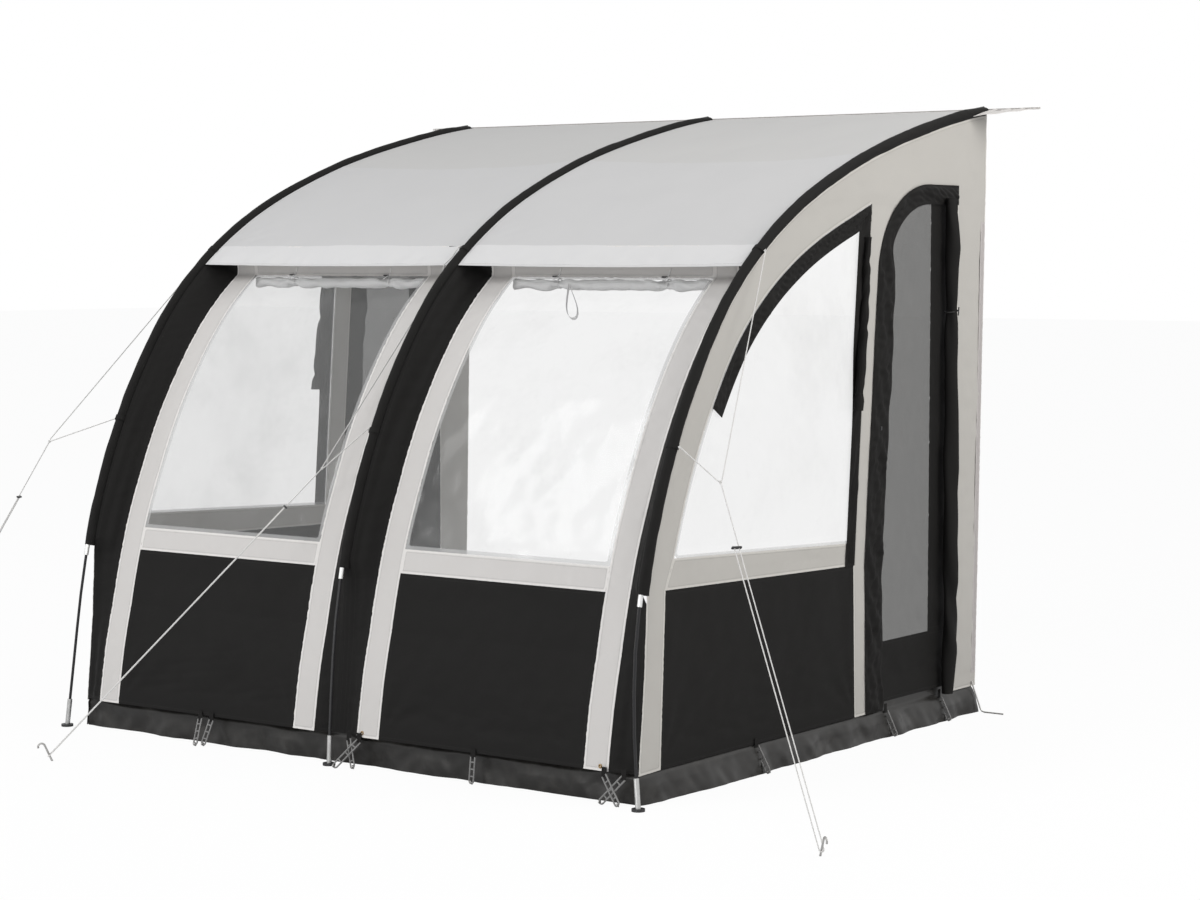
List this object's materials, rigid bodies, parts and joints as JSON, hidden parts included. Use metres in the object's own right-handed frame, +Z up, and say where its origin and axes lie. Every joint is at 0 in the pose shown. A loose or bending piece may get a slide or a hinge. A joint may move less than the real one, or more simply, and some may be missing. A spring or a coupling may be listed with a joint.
{
  "type": "caravan awning",
  "caption": "Porch awning on sprung pole arches, with curved roof panels, clear windows, side doors, mud skirts and guy ropes; it hangs from a caravan's rail.",
  "frame": {"origin": "on the ground, under the middle of the tent's box measured without its guy ropes", "axes": "+Z up; +Y towards the caravan, whose rail the bead enters; -Y is the front; +X is the right side seen from the front"},
  "size_m": [4.373, 2.9706, 2.365],
  "materials": {
    "aluminium": "bright drawn tube",
    "black_cloth": "charcoal, soft wrinkles",
    "black_plastic": "moulded black",
    "clear_film": "clear flexible film",
    "fibreglass": "black smooth rod",
    "mesh_screen": "dark open mesh",
    "pale_cloth": "woven, stitched",
    "roof_cloth": "woven, faintly wrinkled",
    "rope": "braided, off-white",
    "skirt_film": "dark coated film",
    "steel": "zinc grey",
    "wall_cloth": "woven, warm pale grey"
  },
  "bodies": {
    "tent": {"corner_peg_left": "steel", "corner_peg_right": "steel", "curtain_roll_left": "pale_cloth", "curtain_roll_right": "pale_cloth", "door_flap_left": "black_cloth", "door_flap_right": "black_cloth", "ferrule_center": "aluminium", "ferrule_left": "aluminium", "ferrule_right": "aluminium", "foot_center": "aluminium", "foot_left": "aluminium", "foot_right": "aluminium", "front_frame_left": "pale_cloth", "front_frame_right": "pale_cloth", "front_lower_left": "black_cloth", "front_lower_right": "black_cloth", "front_window_left": "clear_film", "front_window_right": "clear_film", "gusset_center": "black_cloth", "gusset_left": "black_cloth", "gusset_right": "black_cloth", "guy_bridle_center": "rope", "guy_bridle_left": "rope", "guy_bridle_right": "rope", "guy_line_center": "rope", "guy_line_left": "rope", "guy_line_right": "rope", "guy_peg_center": "steel", "guy_peg_left": "steel", "guy_peg_right": "steel", "lower_pole_center": "fibreglass", "lower_pole_left": "fibreglass", "lower_pole_right": "fibreglass", "rail_strip": "pale_cloth", "roof_left": "roof_cloth", "roof_right": "roof_cloth", "side_blind_left": "black_cloth", "side_blind_right": "black_cloth", "side_lower_left": "black_cloth", "side_lower_right": "black_cloth", "side_window_left": "clear_film", "side_window_right": "clear_film", "skirt_front": "skirt_film", "skirt_left": "skirt_film", "skirt_right": "skirt_film", "sleeve_center": "black_cloth", "sleeve_left": "black_cloth", "sleeve_right": "black_cloth", "upper_pole_center": "fibreglass", "upper_pole_left": "fibreglass", "upper_pole_right": "fibreglass", "wall_left": "wall_cloth", "wall_right": "wall_cloth"},
    "door_leaf_left": {"door_leaf_left": "mesh_screen"},
    "door_leaf_right": {"door_leaf_right": "mesh_screen"},
    "zip_pull_left": {"zip_pull_left": "black_plastic"},
    "zip_pull_right": {"zip_pull_right": "black_plastic"},
    "guy_slider_left": {"guy_slider_left": "black_plastic"},
    "guy_slider_center": {"guy_slider_center": "black_plastic"},
    "guy_slider_right": {"guy_slider_right": "black_plastic"}
  },
  "joints": [
    {"name": "door_leaf_left_hinge", "type": "hinge", "parent": "tent", "child": "door_leaf_left", "pos_m": [-1.285, 0.9791, 1], "axis": [0, 0, 1], "range_deg": [0, 90]},
    {"name": "door_leaf_right_hinge", "type": "hinge", "parent": "tent", "child": "door_leaf_right", "pos_m": [1.285, 0.9791, 1], "axis": [0, 0, -1], "range_deg": [0, 90]},
    {"name": "zip_pull_left_slide", "type": "slide", "parent": "tent", "child": "zip_pull_left", "axis": [0, 0.0427, 0.9991], "range_m": [-0.9, 0.42]},
    {"name": "zip_pull_right_slide", "type": "slide", "parent": "tent", "child": "zip_pull_right", "axis": [0, 0.0427, 0.9991], "range_m": [-0.9, 0.42]},
    {"name": "guy_slider_left_slide", "type": "slide", "parent": "tent", "child": "guy_slider_left", "axis": [-0.4408, -0.2481, -0.8626], "range_m": [-0.1, 0.4]},
    {"name": "guy_slider_center_slide", "type": "slide", "parent": "tent", "child": "guy_slider_center", "axis": [-0.4695, -0.5131, -0.7185], "range_m": [-0.1, 0.4]},
    {"name": "guy_slider_right_slide", "type": "slide", "parent": "tent", "child": "guy_slider_right", "axis": [0.5201, -0.3617, -0.7737], "range_m": [-0.1, 0.4]}
  ]
}
